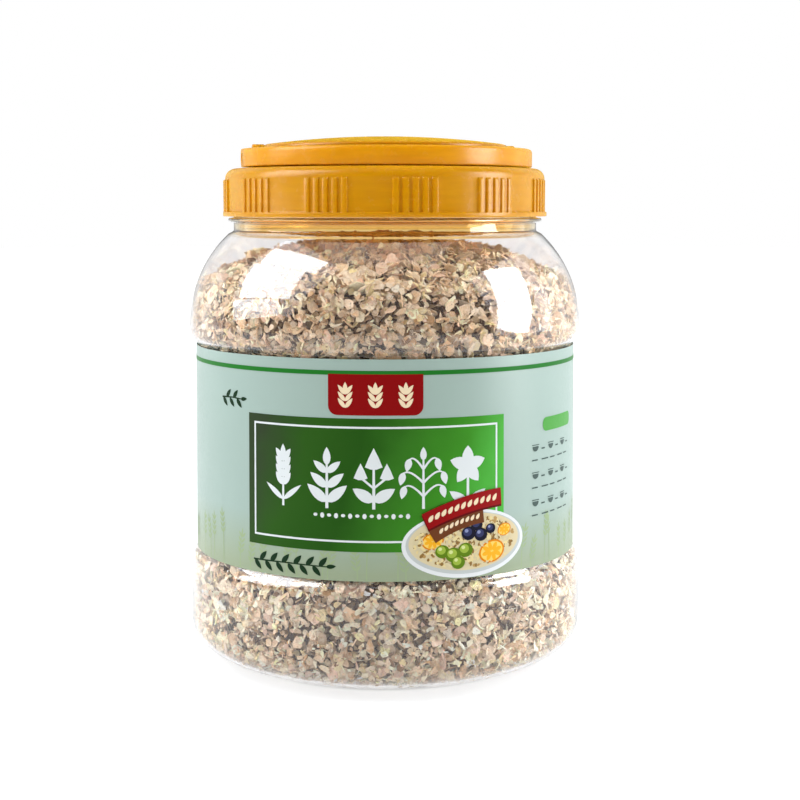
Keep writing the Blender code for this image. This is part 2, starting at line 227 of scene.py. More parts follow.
def add_bump(tree, shader, height, strength, distance):
    bump = node(tree, "Bump", {"Height": height, "Strength": strength, "Distance": distance})
    feed(shader, "Normal", bump.outputs["Normal"])


# Materials


def clear_plastic():
    """Clear blown plastic, whose wall is faintly uneven. Light passes straight through to the flakes.

    Under the lid, the neck and its bead are tinted with a painted amber light from the lid, which fades at
    their grazing edges.
    """
    material, tree, shader, place = new_material("clear_plastic", {
        "Base Color": CLEAR, "Transmission Weight": 1.0, "IOR": 1.5})
    feed(shader, "Roughness", remapped(tree, noise(tree, place, 140, 3), 0.35, 0.7, 0.02, 0.06))
    # Painted light: the lid's amber light is painted into the clear neck's colour under the lid.
    height = axes(tree, place)["Z"]
    above = remapped(tree, height, *PAINTED_LID_LIGHT_START, 0.0, 1.0)
    below = remapped(tree, height, *PAINTED_LID_LIGHT_END, 1.0, 0.0)
    facing = node(tree, "LayerWeight", {"Blend": 0.5}).outputs["Facing"]
    ahead = remapped(tree, facing, 0.45, 0.62, 1.0, 0.3)
    painted_lid_light = calculated(tree, "MULTIPLY", calculated(tree, "MULTIPLY", above, below), ahead)
    feed(shader, "Base Color", mixed(tree, painted_lid_light, CLEAR, PAINTED_LID_LIGHT))
    add_bump(tree, shader, noise(tree, place, 55, 2), 0.06, 0.001)
    path = node(tree, "LightPath")
    clear = node(tree, "BsdfTransparent", {"Color": (0.98, 0.98, 0.982, 1)})
    blend = node(tree, "MixShader", {
        0: path.outputs["Is Shadow Ray"], 1: shader.outputs["BSDF"], 2: clear.outputs["BSDF"]})
    feed(tree.nodes["Material Output"], "Surface", blend.outputs["Shader"])
    return material


def lid_plastic(name, color, deep):
    """Glossy yellow moulded plastic, with faint level flow marks and a fine uneven skin.

    Its inside has a painted glow, which stands in for light coming through the lid.
    """
    material, tree, shader, place = new_material(name, {
        "Specular IOR Level": 0.26, "Sheen Weight": 0.75, "Sheen Roughness": 0.4,
        "Sheen Tint": (1.0, 0.64, 0.04, 1), "Emission Color": PAINTED_LID_GLOW, "Subsurface Weight": 0.2,
        "Subsurface Radius": (1.0, 0.4, 0.05), "Subsurface Scale": 0.003})
    stretch = node(tree, "Mapping", {"Vector": place, "Scale": (1, 1, 10)}).outputs["Vector"]
    flow = remapped(tree, noise(tree, stretch, 55, 4, 0.6), 0.35, 0.68, 0.0, 1.0)
    feed(shader, "Base Color", mixed(tree, flow, color, deep))
    parts = axes(tree, place)
    # Painted glow: the lid's inside, within the skirt and under the deck, gives off light though it is no
    # lamp.
    flat = node(tree, "CombineXYZ", {"X": parts["X"], "Y": parts["Y"]}).outputs["Vector"]
    within = remapped(tree, distance_of(tree, flat), *GLOW_WITHIN, 0.6, 0.0)
    below = remapped(tree, parts["Z"], *GLOW_BELOW, 1.0, 0.0)
    feed(shader, "Emission Strength", calculated(tree, "MULTIPLY", within, below))
    feed(shader, "Roughness", remapped(tree, noise(tree, place, 260, 3), 0.3, 0.7, 0.2, 0.3))
    add_bump(tree, shader, noise(tree, place, 900, 3), 0.03, 0.0004)
    return material


def add_film_grain(tree, shader, place, least):
    """The fine grain of printed film, in its gloss and in its skin."""
    feed(shader, "Roughness", remapped(tree, noise(tree, place, 700, 2), 0.3, 0.7, least, 0.42))
    add_bump(tree, shader, noise(tree, place, 1400, 2), 0.03, 0.0002)


def ink(name, color, low=None):
    """Printed film: a slight cloudiness of its own colour and a fine grain.

    low is the colour that it turns to near the label's lower edge.
    """
    material, tree, shader, place = new_material(name, {"Specular IOR Level": 0.45 if low else 0.08})
    cloud = remapped(tree, noise(tree, place, 60, 4, 0.6), 0.35, 0.65, 0.0, 0.12)
    darker = (color[0] * 0.8, color[1] * 0.8, color[2] * 0.8, 1)
    base = mixed(tree, cloud, color, darker)
    if low:
        height = axes(tree, place)["Z"]
        base = mixed(tree, remapped(tree, height, *LOW_GREEN, 1.0, 0.0), base, low)
    feed(shader, "Base Color", base)
    add_film_grain(tree, shader, place, 0.31)
    return material


def panel_ink():
    """The front panel's green, dark at its upper left and bright at its right."""
    material, tree, shader, place = new_material("panel_green", {"Specular IOR Level": 0.1})
    parts = axes(tree, place)
    across = remapped(tree, parts["X"], -0.047, 0.043, 0.0, 1.0)
    up = remapped(tree, parts["Z"], 0.054, 0.101, 0.12, -0.06)
    cloud = remapped(tree, noise(tree, place, 70, 3), 0.3, 0.7, -0.03, 0.03)
    along = calculated(tree, "ADD", calculated(tree, "ADD", across, up), cloud)
    ramp = node(tree, "ValToRGB", {"Fac": along})
    greens = ((0.0, (46, 62, 34)), (1.0, (78, 180, 62)), (0.2, (40, 86, 14)), (0.42, (32, 82, 8)),
              (0.6, (50, 114, 24)), (0.8, (58, 138, 28)))
    elements = ramp.color_ramp.elements
    for i, (position, color) in enumerate(greens):
        element = elements[i] if i < 2 else elements.new(position)
        element.position = position
        element.color = srgb(*color)
    feed(shader, "Base Color", ramp.outputs["Color"])
    add_film_grain(tree, shader, place, 0.3)
    return material


def flake_material(name, streak):
    """Rolled grain: each flake's own tint, with floury patches and thin bran streaks."""
    material, tree, shader, place = new_material(name, {
        "Roughness": 0.62, "Specular IOR Level": 0.25})
    tint = node(tree, "VertexColor", layer_name="tint").outputs["Color"]
    flour = remapped(tree, noise(tree, place, 420, 3, 0.6), 0.45, 0.68, 0.0, 0.5)
    pale = mixed(tree, flour, tint, srgb(248, 238, 218))
    bran = remapped(tree, noise(tree, place, 1300, 4, 0.7), 0.57, 0.66, 0.0, 0.65)
    feed(shader, "Base Color", mixed(tree, bran, pale, streak))
    add_bump(tree, shader, noise(tree, place, 1500, 4, 0.65), 0.7, 0.0007)
    return material


def core_material():
    """What shows in the gaps: deeper flakes as pale uneven cells, painted darker than the flakes above as
    shade, with painted shade along their edges.
    """
    material, tree, shader, place = new_material("flake_core", {
        "Roughness": 0.9, "Specular IOR Level": 0.1})
    push = node(tree, "TexNoise", {"Vector": place, "Scale": 300}).outputs["Color"]
    inputs = {0: push, 1: (0.004, 0.004, 0.004), 2: (-0.002, -0.002, -0.002)}
    push = node(tree, "VectorMath", inputs, operation="MULTIPLY_ADD").outputs["Vector"]
    bent = node(tree, "VectorMath", {0: place, 1: push}, operation="ADD").outputs["Vector"]
    inputs = {"Vector": bent, "Scale": 330}
    cells = node(tree, "TexVoronoi", inputs).outputs["Color"]
    edges = node(tree, "TexVoronoi", inputs, feature="DISTANCE_TO_EDGE").outputs["Distance"]
    tone = node(tree, "SeparateColor", {"Color": cells}).outputs["Red"]
    body = mixed(tree, tone, srgb(138, 108, 72), srgb(212, 182, 138))
    # Painted shade: dark brown along the cells' edges, where deeper flakes meet.
    gap = remapped(tree, edges, 0.03, 0.16, 0.0, 1.0)
    feed(shader, "Base Color", mixed(tree, gap, srgb(98, 62, 30), body))
    add_bump(tree, shader, gap, 1.0, 0.0012)
    return material


def floor_material():
    """A white sweep, lit more evenly away from the jar by its own glow, and darker under the jar, where a
    painted shadow cuts the glow.
    """
    material, tree, shader, place = new_material("pale_floor", {
        "Roughness": 0.6, "Specular IOR Level": 0.2, "Emission Color": (1, 1, 1, 1)})
    cloud = remapped(tree, noise(tree, place, 3, 3), 0.3, 0.7, 0.0, 1.0)
    feed(shader, "Base Color", mixed(tree, cloud, srgb(162, 162, 162), srgb(168, 168, 168)))
    reach = distance_of(tree, place)
    glow = remapped(tree, reach, 0.15, 1.4, 0.8, 0.94)
    # Painted shadow: the glow falls to a tenth under the jar.
    under = remapped(tree, reach, 0.051, 0.058, 0.1, 1.0)
    feed(shader, "Emission Strength", calculated(tree, "MULTIPLY", glow, under))
    return material


# Mesh helpers. Profiles and outlines are in millimetres.


def even_angles(sides):
    return [2 * pi * i / sides for i in range(sides)]


def arc(center, radius, start, end, steps):
    angles = [start + (end - start) * i / steps for i in range(steps + 1)]
    return [(center[0] + radius * cos(angle), center[1] + radius * sin(angle)) for angle in angles]


def circle(radius, steps):
    """A round outline about the hinge's axis."""
    return arc((0, HINGE_Z), radius, 0, 2 * pi, steps)[:-1]


def softened(points, steps=6):
    """A profile through corners (radius, height, softness), which it rounds off on their inner side.

    Softness is how far from a corner its rounding starts.
    """
    made = []
    for i, (x, y, softness) in enumerate(points):
        if softness == 0 or i in (0, len(points) - 1):
            made.append((x, y))
            continue
        corner = Vector((x, y))
        before = Vector(points[i - 1][:2]) - corner
        after = Vector(points[i + 1][:2]) - corner
        start = corner + before.normalized() * min(softness, before.length / 2)
        end = corner + after.normalized() * min(softness, after.length / 2)
        for step in range(steps + 1):
            t = step / steps
            made.append(tuple(start * (1 - t) ** 2 + corner * 2 * t * (1 - t) + end * t * t))
    return made


def moved_inward(profile, distance):
    moved = []
    for i, (radius, height) in enumerate(profile):
        before = Vector(profile[max(i - 1, 0)])
        after = Vector(profile[min(i + 1, len(profile) - 1)])
        along = (after - before).normalized()
        moved.append((radius - along.y * distance, height + along.x * distance))
    return moved


def in_scene(name, data):
    made = bpy.data.objects.new(name, data)
    bpy.context.scene.collection.objects.link(made)
    return made


def shade(mesh, angle):
    """Smooth shading, but sharp where faces meet at more than an angle in degrees."""
    mesh.shade_smooth()
    mesh.set_sharp_from_angle(angle=radians(angle))


def object_from(name, points, faces, material, sharp=32):
    """An object from points in metres. Points that coincide are merged."""
    mesh = bpy.data.meshes.new(name)
    mesh.from_pydata(points, [], faces)
    shape = bmesh.new()
    shape.from_mesh(mesh)
    bmesh.ops.remove_doubles(shape, verts=shape.verts, dist=1e-7)
    bmesh.ops.recalc_face_normals(shape, faces=shape.faces)
    shape.to_mesh(mesh)
    shape.free()
    shade(mesh, sharp)
    mesh.materials.append(material)
    return in_scene(name, mesh)


def ring_faces(rings, sides, closed):
    faces = []
    for low in range(rings if closed else rings - 1):
        high = (low + 1) % rings
        for i in range(sides):
            j = (i + 1) % sides
            faces.append((low * sides + i, low * sides + j, high * sides + j, high * sides + i))
    return faces


def revolved(name, profile, angles, material, closed=False, offset=None, sharp=32):
    """A body turned round Z. offset(angle index, height, radius) adds to the radius."""
    points = []
    for radius, height in profile:
        for i, angle in enumerate(angles):
            at = radius + (offset(i, height, radius) if offset else 0)
            points.append((at * cos(angle) * MM, at * sin(angle) * MM, height * MM))
    return object_from(name, points, ring_faces(len(profile), len(angles), closed), material, sharp)


def prism_along_x(name, outline, start_x, end_x, material):
    """A prism along X whose section is an outline of (y, z) points."""
    points = [(x * MM, y * MM, z * MM) for x in (start_x, end_x) for y, z in outline]
    count = len(outline)
    faces = ring_faces(2, count, False) + [tuple(range(count)), tuple(range(count, 2 * count))]
    return object_from(name, points, faces, material)


def apply_modifiers(body):
    graph = bpy.context.evaluated_depsgraph_get()
    mesh = bpy.data.meshes.new_from_object(body.evaluated_get(graph))
    body.modifiers.clear()
    body.data = mesh


def combine(body, tool, operation):
    modifier = body.modifiers.new(operation.lower(), "BOOLEAN")
    modifier.operation = operation
    modifier.solver = "EXACT"
    modifier.object = tool
    apply_modifiers(body)
    bpy.data.objects.remove(tool)


def bevelled(body, width):
    modifier = body.modifiers.new("bevel", "BEVEL")
    modifier.width = width * MM
    modifier.segments = 2
    modifier.limit_method = "ANGLE"
    modifier.angle_limit = radians(35)
    apply_modifiers(body)
    shade(body.data, 50)


def joined(name, pieces, material):
    """One object from several, which lie in the same frame."""
    shape = bmesh.new()
    for piece in pieces:
        shape.from_mesh(piece.data)
        bpy.data.objects.remove(piece)
    mesh = bpy.data.meshes.new(name)
    shape.to_mesh(mesh)
    shape.free()
    mesh.materials.append(material)
    return in_scene(name, mesh)


def settle(piece, body, slot, *nodes):
    """Rides on a body, and stands for CAD nodes where named. Its slot is not used."""
    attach(piece, body)
    if nodes:
        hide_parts(*nodes)


# The jar


def corner_points():
    """The round corner from the foot to the lower bulge."""
    steps = 28
    points = []
    for i in range(steps + 1):
        angle = pi / 2 * (1 - i / steps)
        radius = FOOT_RADIUS + (LOWER_BULGE_RADIUS - FOOT_RADIUS) * cos(angle)
        points.append((radius, CORNER_TOP_Z * (1 - sin(angle) ** CORNER_SQUARENESS), 0))
    return points


def shoulder_points():
    center = (UPPER_BULGE[0] - SHOULDER_ARC_RADIUS, UPPER_BULGE[1])
    last = asin((SHOULDER_TOP_Z - UPPER_BULGE[1]) / SHOULDER_ARC_RADIUS)
    return [(x, y, 0) for x, y in arc(center, SHOULDER_ARC_RADIUS, 0, last, 30)]


def outer_wall():
    """The jar's outer face from the foot ring to the top of the shoulder."""
    side = [
        (LOWER_BULGE_RADIUS, PANEL_BOTTOM[1] - 11, 3),
        (LOWER_BULGE_RADIUS - 0.7, PANEL_BOTTOM[1] - 2.6, 1.8),
        (PANEL_BOTTOM[0], PANEL_BOTTOM[1], 1.5),
        (PANEL_TOP[0], PANEL_TOP[1], 1.2),
        (UPPER_BULGE[0] - 0.7, PANEL_TOP[1] + 2, 1.5),
    ]
    return softened(corner_points() + side + shoulder_points())


def inner_wall():
    return [point for point in moved_inward(outer_wall(), WALL) if point[1] < SHOULDER_TOP_Z - 0.4]


def make_jar(material):
    punt = [(0, PUNT_RISE, 0), (FOOT_INNER_RADIUS * 0.6, PUNT_RISE * 0.62, 6),
            (FOOT_INNER_RADIUS, 0, 2), (FOOT_RADIUS, 0, 0)]
    neck = [
        (NECK_RADIUS, NECK_START_Z, 0.6), (NECK_RADIUS, BEAD_Z[0], 0.3),
        (BEAD_RADIUS, BEAD_Z[0] + 0.3, 0.5), (BEAD_RADIUS, BEAD_Z[1] - 0.3, 0.5),
        (NECK_RADIUS, BEAD_Z[1], 0.3), (NECK_RADIUS, NECK_TOP_Z, 0.6),
        (NECK_INNER_RADIUS, NECK_TOP_Z, 0.6), (NECK_INNER_RADIUS, NECK_START_Z, 0),
    ]
    inner_punt = [(radius, height + WALL) for radius, height in softened(punt)][::-1]
    profile = softened(punt) + outer_wall()[1:] + softened([(*outer_wall()[-1], 0)] + neck)[1:]
    profile += inner_wall()[:0:-1] + inner_punt
    return revolved("jar_shell", profile, even_angles(160), material, sharp=60)


# The lid and its handle


def lid_angles():
    """Columns of the lid's skirt: nine for each rib, and even ones in between, with each rib's offset."""
    columns = []
    for group in range(RIB_GROUPS):
        middle = -pi / 2 + 2 * pi * group / RIB_GROUPS + LID_TURN
        first = middle - (RIBS_PER_GROUP - 1) / 2 * RIB_PITCH
        for i in range(RIBS_PER_GROUP):
            for across, height in RIB_SECTION:
                columns.append((first + i * RIB_PITCH + across / SKIRT_RADIUS, height))
        half_rib = RIB_SECTION[-1][0] / SKIRT_RADIUS
        last = first + (RIBS_PER_GROUP - 1) * RIB_PITCH + half_rib
        gap = 2 * pi / RIB_GROUPS - (RIBS_PER_GROUP - 1) * RIB_PITCH - 2 * half_rib
        for i in range(1, 7):
            columns.append((last + gap * i / 7, 0))
    return columns


def dome_profile(top, edge_radius, edge_height, steps):
    rise = top - edge_height
    cap_radius = (edge_radius ** 2 + rise ** 2) / (2 * rise)
    edge_angle = asin(edge_radius / cap_radius)
    points = []
    for i in range(steps):
        angle = edge_angle * (1 - i / steps)
        points.append((cap_radius * sin(angle), top - cap_radius * (1 - cos(angle)), 0))
    return points + [(0, top, 0)]


def make_lid(material):
    fillet_center = (SKIRT_RADIUS - SKIRT_FILLET, DECK_Z - SKIRT_FILLET)
    skirt = [
        (SKIRT_INNER_RADIUS, RIM_Z[0], 0), (RIM_RADIUS, RIM_Z[0], 0.35),
        (RIM_RADIUS, RIM_Z[1] - 0.3, 0.3), (SKIRT_RADIUS, RIM_Z[1], 0.2),
        (SKIRT_RADIUS, RIB_TOP_Z - 0.75, 0), (SKIRT_RADIUS, RIB_TOP_Z - 0.55, 0),
        (SKIRT_RADIUS, RIB_TOP_Z - 0.1, 0),
    ]
    fillet = [(x, y, 0) for x, y in arc(fillet_center, SKIRT_FILLET, 0, pi / 2, 8)]
    top = [
        (DRUM_RADIUS, DECK_Z, 0.5), (DRUM_RADIUS, DRUM_EDGE_Z + 0.6, 0.9),
        *dome_profile(DOME_TOP_Z, DRUM_RADIUS - 1.6, DRUM_EDGE_Z + 1.1, 12),
    ]
    inside = dome_profile(DOME_TOP_Z - DOME_THICKNESS, DRUM_INNER_RADIUS, DRUM_EDGE_Z - 0.8, 5)
    inside = inside[::-1] + [(DRUM_INNER_RADIUS, DECK_UNDERSIDE_Z, 0),
                             (SKIRT_INNER_RADIUS, DECK_UNDERSIDE_Z, 0)]
    columns = lid_angles()
    fade = ((RIM_Z[1] - 0.3, 0.0), (RIM_Z[1], 1.0), (RIB_TOP_Z - 0.75, 1.0),
            (RIB_TOP_Z - 0.55, 0.85), (RIB_TOP_Z - 0.1, 0.0))

    def rib_offset(i, height, radius):
        on_skirt = radius > SKIRT_RADIUS - 0.1
        share = np.interp(height, [z for z, _ in fade], [f for _, f in fade], right=0.0)
        return columns[i][1] * share if on_skirt else 0

    return revolved("lid_shell", softened(skirt + fillet + top + inside, 4),
                    [angle for angle, _ in columns], material, closed=True, offset=rib_offset)


def make_lugs(material):
    """The two posts on the lid's deck, each with its pin."""
    sink = DECK_Z - 0.7
    outline = [(-LUG_HALF_WIDTH, sink), (LUG_HALF_WIDTH, sink)]
    outline += arc((0, LUG_TOP_Z - LUG_HALF_WIDTH), LUG_HALF_WIDTH, 0, pi, 20)
    pieces = []
    for side in (-1, 1):
        lug = prism_along_x("lug", outline, side * LUG_X[0], side * LUG_X[1], material)
        bevelled(lug, 0.4)
        pin = prism_along_x("pin", circle(PIN_RADIUS, 24), side * (LUG_X[1] - 2), side * PIN_END_X,
                            material)
        bevelled(pin, 0.25)
        pieces += [lug, pin]
    lugs = joined("lid_lugs", pieces, material)
    lugs.data.transform(Matrix.Rotation(LID_TURN, 4, "Z"))
    shade(lugs.data, 50)
    return lugs


def make_handle(material):
    """The half ring that lies on the deck, with a round end and a hole at each pin."""
    low = HINGE_Z - HANDLE_HALF_HEIGHT
    high = HINGE_Z + HANDLE_HALF_HEIGHT
    inner, outer = HANDLE_RADII
    section = softened([(inner, low, 0), (outer, low, 0.5), (outer, high, 1.7), (inner, high, 0),
                        (inner, HINGE_Z, 0)])
    ring = revolved("carry_handle", section, even_angles(220), material, closed=True)
    front = -outer - 5
    end = arc((0, HINGE_Z), HANDLE_END_RADIUS, -pi / 2, pi / 2, 28)
    reach = prism_along_x("reach", [(front, end[-1][1]), (front, end[0][1])] + end,
                          -HANDLE_FLAT_X, HANDLE_FLAT_X, material)
    combine(ring, reach, "INTERSECT")
    for radius, half_length, steps in ((LUG_CLEAR_RADIUS, LUG_CLEAR_X, 64),
                                       (PIN_HOLE_RADIUS, RIM_RADIUS, 32)):
        room = prism_along_x("room", circle(radius, steps), -half_length, half_length, material)
        combine(ring, room, "DIFFERENCE")
    bevelled(ring, 0.3)
    ring.data.transform(Matrix.Rotation(LID_TURN, 4, "Z"))
    return ring


# The label. Print outlines are (arc length, height) points in millimetres, with 0 at the front.

# The outline of a three-cornered seed, in shares of its half width and of its height.
HULL = ((-1, 0), (-0.3, -0.12), (0.3, -0.12), (1, 0), (0.55, 0.5), (0, 1), (-0.55, 0.5))


def label_radius(height):
    share = (height - PANEL_BOTTOM[1]) / (PANEL_TOP[1] - PANEL_BOTTOM[1])
    return PANEL_BOTTOM[0] + (PANEL_TOP[0] - PANEL_BOTTOM[0]) * share


def make_label(material):
    low, high = LABEL_Z
    outer = LABEL_GAP + LABEL_THICKNESS
    profile = [(label_radius(low) + LABEL_GAP, low)]
    for i in range(9):
        height = low + (high - low) * i / 8
        profile.append((label_radius(height) + outer, height))
    profile.append((label_radius(high) + LABEL_GAP, high))
    return revolved("label_band", profile, even_angles(240), material, closed=True)


def printed(name, outlines, layer, material):
    """Flat shapes laid round the label as one thin print. Later shapes lie over earlier ones.

    They are cut into upright strips, so that they follow the label's curve.
    """
    shape = bmesh.new()
    for index, outline in enumerate(outlines):
        step = (index % 40) * 0.001
        shape.faces.new([shape.verts.new((across, step, up)) for across, up in outline])
    spread = [vert.co.x for vert in shape.verts]
    at = floor(min(spread)) + 1
    while at < max(spread):
        geometry = shape.verts[:] + shape.edges[:] + shape.faces[:]
        bmesh.ops.bisect_plane(shape, geom=geometry, plane_co=(at, 0, 0), plane_no=(1, 0, 0))
        at += PRINT_STRIP
    bmesh.ops.triangulate(shape, faces=shape.faces[:])
    for vert in shape.verts:
        across, step, up = vert.co
        radius = label_radius(up) + LABEL_GAP + LABEL_THICKNESS + PRINT_LIFT * layer + step
        angle = across / PRINT_RADIUS
        vert.co = Vector((radius * sin(angle), -radius * cos(angle), up)) * MM
    shape.normal_update()
    for face in shape.faces:
        middle = face.calc_center_median()
        if face.normal.x * middle.x + face.normal.y * middle.y < 0:
            face.normal_flip()
    mesh = bpy.data.meshes.new("print_" + name)
    shape.to_mesh(mesh)
    shape.free()
    mesh.shade_smooth()
    mesh.materials.append(material)
    settle(in_scene("print_" + name, mesh), "container", "label")


def rectangle(left, bottom, right, top):
    return [(left, bottom), (right, bottom), (right, top), (left, top)]


def rounded(left, bottom, right, top, radius, round_top=True):
    low, high = bottom + radius, top - radius
    outline = arc((left + radius, low), radius, pi, 1.5 * pi, 6)
    outline += arc((right - radius, low), radius, -pi / 2, 0, 6)
    if not round_top:
        return outline + [(right, top), (left, top)]
    outline += arc((right - radius, high), radius, 0, pi / 2, 6)
    return outline + arc((left + radius, high), radius, pi / 2, pi, 6)


def ellipse(x, y, half_width, half_height, turn=0.0, steps=28):
    points = []
    for angle in even_angles(steps):
        u = half_width * cos(angle)
        v = half_height * sin(angle)
        points.append((x + u * cos(turn) - v * sin(turn), y + u * sin(turn) + v * cos(turn)))
    return points


def petal(x, y, length, width, lean, steps=7):
    """A seed or leaf that starts at a point and leans from upright, in degrees to the right."""
    direction = radians(90 - lean)
    along = (cos(direction), sin(direction))
    across = (-along[1], along[0])
    left = []
    right = []
    for i in range(1, steps):
        share = i / steps
        half = width / 2 * sin(pi * share ** 0.8) ** 0.8
        cx = x + along[0] * length * share
        cy = y + along[1] * length * share
        left.append((cx + across[0] * half, cy + across[1] * half))
        right.append((cx - across[0] * half, cy - across[1] * half))
    tip = (x + along[0] * length, y + along[1] * length)
    return [(x, y)] + right + [tip] + left[::-1]


def stroke(points, width, end_width=None):
    """A thin band along points, which may grow narrower."""
    end_width = width if end_width is None else end_width
    left = []
    right = []
    for i, (x, y) in enumerate(points):
        x0, y0 = points[max(i - 1, 0)]
        x1, y1 = points[min(i + 1, len(points) - 1)]
        length = hypot(x1 - x0, y1 - y0)
        half = (width + (end_width - width) * i / (len(points) - 1)) / 2
        nx = -(y1 - y0) / length * half
        ny = (x1 - x0) / length * half
        left.append((x + nx, y + ny))
        right.append((x - nx, y - ny))
    return right + left[::-1]


def curve(start, middle, end, steps=8):
    points = []
    for t in (i / steps for i in range(steps + 1)):
        points.append([(1 - t) ** 2 * a + 2 * t * (1 - t) * b + t * t * c
                       for a, b, c in zip(start, middle, end)])
    return points


def leaves(x, y, length, width, lean):
    """A leaf to the left and one to the right."""
    return [petal(x, y, length, width, side * lean) for side in (-1, 1)]


def grain_ear(x, y, height):
    """An upright ear with paired grains and two leaves."""
    shapes = [stroke(curve((x, y), (x, y + height * 0.4), (x, y + height * 0.8)), 0.9, 0.6)]
    for side in (-1, 1):
        shapes.append(petal(x, y + height * 0.1, height * 0.42, 1.9, side * 52))
        for i in range(4):
            shapes.append(petal(x, y + height * (0.34 + 0.13 * i), height * 0.25, 2.3, side * 34))
    return shapes + [petal(x, y + height * 0.76, height * 0.25, 2.2, 0)]


def leaf_sprig(x, y, height):
    """A stem with pairs of broad leaves that get smaller upward."""
    shapes = [stroke([(x, y), (x, y + height * 0.5), (x, y + height * 0.82)], 1.1, 0.7)]
    for i in range(3):
        at = y + height * (0.1 + 0.24 * i)
        shapes += leaves(x, at, height * (0.44 - 0.07 * i), 3.6 - 0.5 * i, 50)
    return shapes + [petal(x, y + height * 0.7, height * 0.3, 2.8, 0)]


def hull_cluster(x, y, height):
    """Three-cornered seeds on short stalks over two leaves."""
    shapes = [stroke([(x, y), (x, y + height * 0.4), (x, y + height * 0.66)], 1.1, 0.8)]
    for side in (-1, 1):
        shapes.append(petal(x, y + height * 0.12, height * 0.4, 4.0, side * 58))
        shapes.append(stroke([(x, y + height * 0.34), (x + side * height * 0.22, y + height * 0.52)], 0.8))
    for dx, dy, size in ((-0.21, 0.5, 0.18), (0.21, 0.5, 0.18), (0, 0.68, 0.23)):
        half = size * height * 0.62
        tall = size * height * 1.35
        shapes.append([(x + dx * height + half * u, y + dy * height + tall * v) for u, v in HULL])
    return shapes


def seed_branch(x, y, height):
    """A loose head of hanging grains on thin arched stalks."""
    shapes = [stroke([(x, y), (x, y + height * 0.5), (x, y + height * 0.9)], 1.0, 0.6)]
    for reach, rise in ((0.3, 0.36), (0.32, 0.58), (0.22, 0.8)):
        for side in (-1, 1):
            start = (x, y + height * (rise - 0.16))
            end = (x + side * height * reach, y + height * rise)
            top = (x + side * height * reach * 0.7, y + height * (rise + 0.08))
            shapes.append(stroke(curve(start, top, end), 0.8, 0.5))
            shapes.append(petal(end[0], end[1] + 0.4, height * 0.22, 2.5, 180 - side * 14))
    return shapes + [petal(x, y + height * 0.78, height * 0.22, 2.3, 0)]


def small_flower(x, y, height):
    """Five round petals on a stem with two leaves."""
    shapes = [stroke([(x, y), (x, y + height * 0.3), (x, y + height * 0.6)], 1.1, 0.9)]
    shapes += leaves(x, y + height * 0.04, height * 0.4, 3.4, 55)
    return shapes + [petal(x, y + height * 0.68, height * 0.33, 4.4, 72 * i) for i in range(5)]


def twig(x, y, length, leaves, size):
    """A level stem with leaves by turns above and below it."""
    shapes = [stroke([(x, y), (x + length / 2, y + 0.3), (x + length, y)], 0.6, 0.4)]
    for i in range(leaves):
        at = x + 0.6 + (length - 2.0) * i / leaves
        side = 1 if i % 2 else -1
        shapes.append(petal(at, y, size, size * 0.42, 90 - side * 48))
    shapes.append(petal(x + length - 1.2, y, size * 0.8, size * 0.34, 84))
    return shapes


def front_print(inks):
    """The stripe, the red tab and the green panel with its line, plants and small marks."""
    printed("stripe", [rectangle(-AROUND, 115.85, AROUND, 117.4)], 3.5, inks["stripe"])
    printed("tab", [rounded(-19.3, 102.0, 13.9, 116.2, 3.2, round_top=False)], 4, inks["red"])
    printed("panel", [rectangle(-52.1, 54.3, 45.1, 100.9)], 3, inks["panel"])
    line = 0.7
    left, bottom, right, top = -49.4, 57.6, 42.2, 98.1
    frame = [
        rectangle(left, bottom, right, bottom + line), rectangle(left, top - line, right, top),
        rectangle(left, bottom + line, left + line, top - line),
        rectangle(right - line, bottom + line, right, top - line),
    ]
    printed("frame_line", frame, 4, inks["white"])
    plants = (grain_ear(-36.6, 69.2, 21.6) + leaf_sprig(-19.8, 69.4, 21.4)
              + hull_cluster(-3.3, 69.4, 21.6) + seed_branch(13.9, 69.4, 21.6)
              + small_flower(30.2, 69.4, 21.2))
    printed("plants", plants, 5, inks["white"])
    tab_ears = []
    for i in range(3):
        middle = -13.2 + 10.5 * i
        for side in (-1, 1):
            tab_ears += [petal(middle, 104.6 + 2.3 * k, 4.2, 1.5, side * 38) for k in range(3)]
        tab_ears.append(petal(middle, 109.6, 3.9, 1.6, 0))
    printed("tab_ears", tab_ears, 5, inks["cream"])
    seeds = []
    for i in range(14):
        drop, tall = (0.12, 0.95) if i % 2 else (0, 0.6)
        seeds.append(ellipse(-24.0 + i * 2.5, 67.0 - drop, 0.75, tall, steps=12))
    printed("seed_row", seeds, 5, inks["white"])
    dark = twig(-50.0, 48.6, 31.0, 12, 4.6) + twig(-67.8, 105.2, 12.5, 5, 4.2)
    printed("dark_twigs", dark, 3, inks["dark"])


def side_print(inks):
    """A small green tag and three rows of plain bowl shapes, right of the panel, and twice at the back."""
    tags = []
    rows = []
    for shift in (0.0, 94.0, -236.0):
        tags.append(rounded(66.0 + shift, 92.6, 90.5 + shift, 97.6, 2.2))
        for height in (86.4, 76.4, 66.4):
            for i in range(3):
                across = 61.5 + 10.2 * i + shift
                rim = height + 1.2
                rows.append([(across - 1.8, rim)] + arc((across, rim), 1.8, pi, 2 * pi, 10))
                rows.append(rectangle(across - 2.1, height + 1.6, across + 2.1, height + 1.9))
                rows.append(rectangle(across + 3.6, height - 0.1, across + 5.8, height + 0.4))
            for i in range(5):
                across = 59.4 + 5.9 * i + shift
                end = across + 3.4 + 0.9 * (i % 2)
                rows.append(rectangle(across, height - 4.0, end, height - 3.55))
    printed("tags", tags, 5, inks["tag"])
    printed("bowl_rows", rows, 5, inks["grey"])


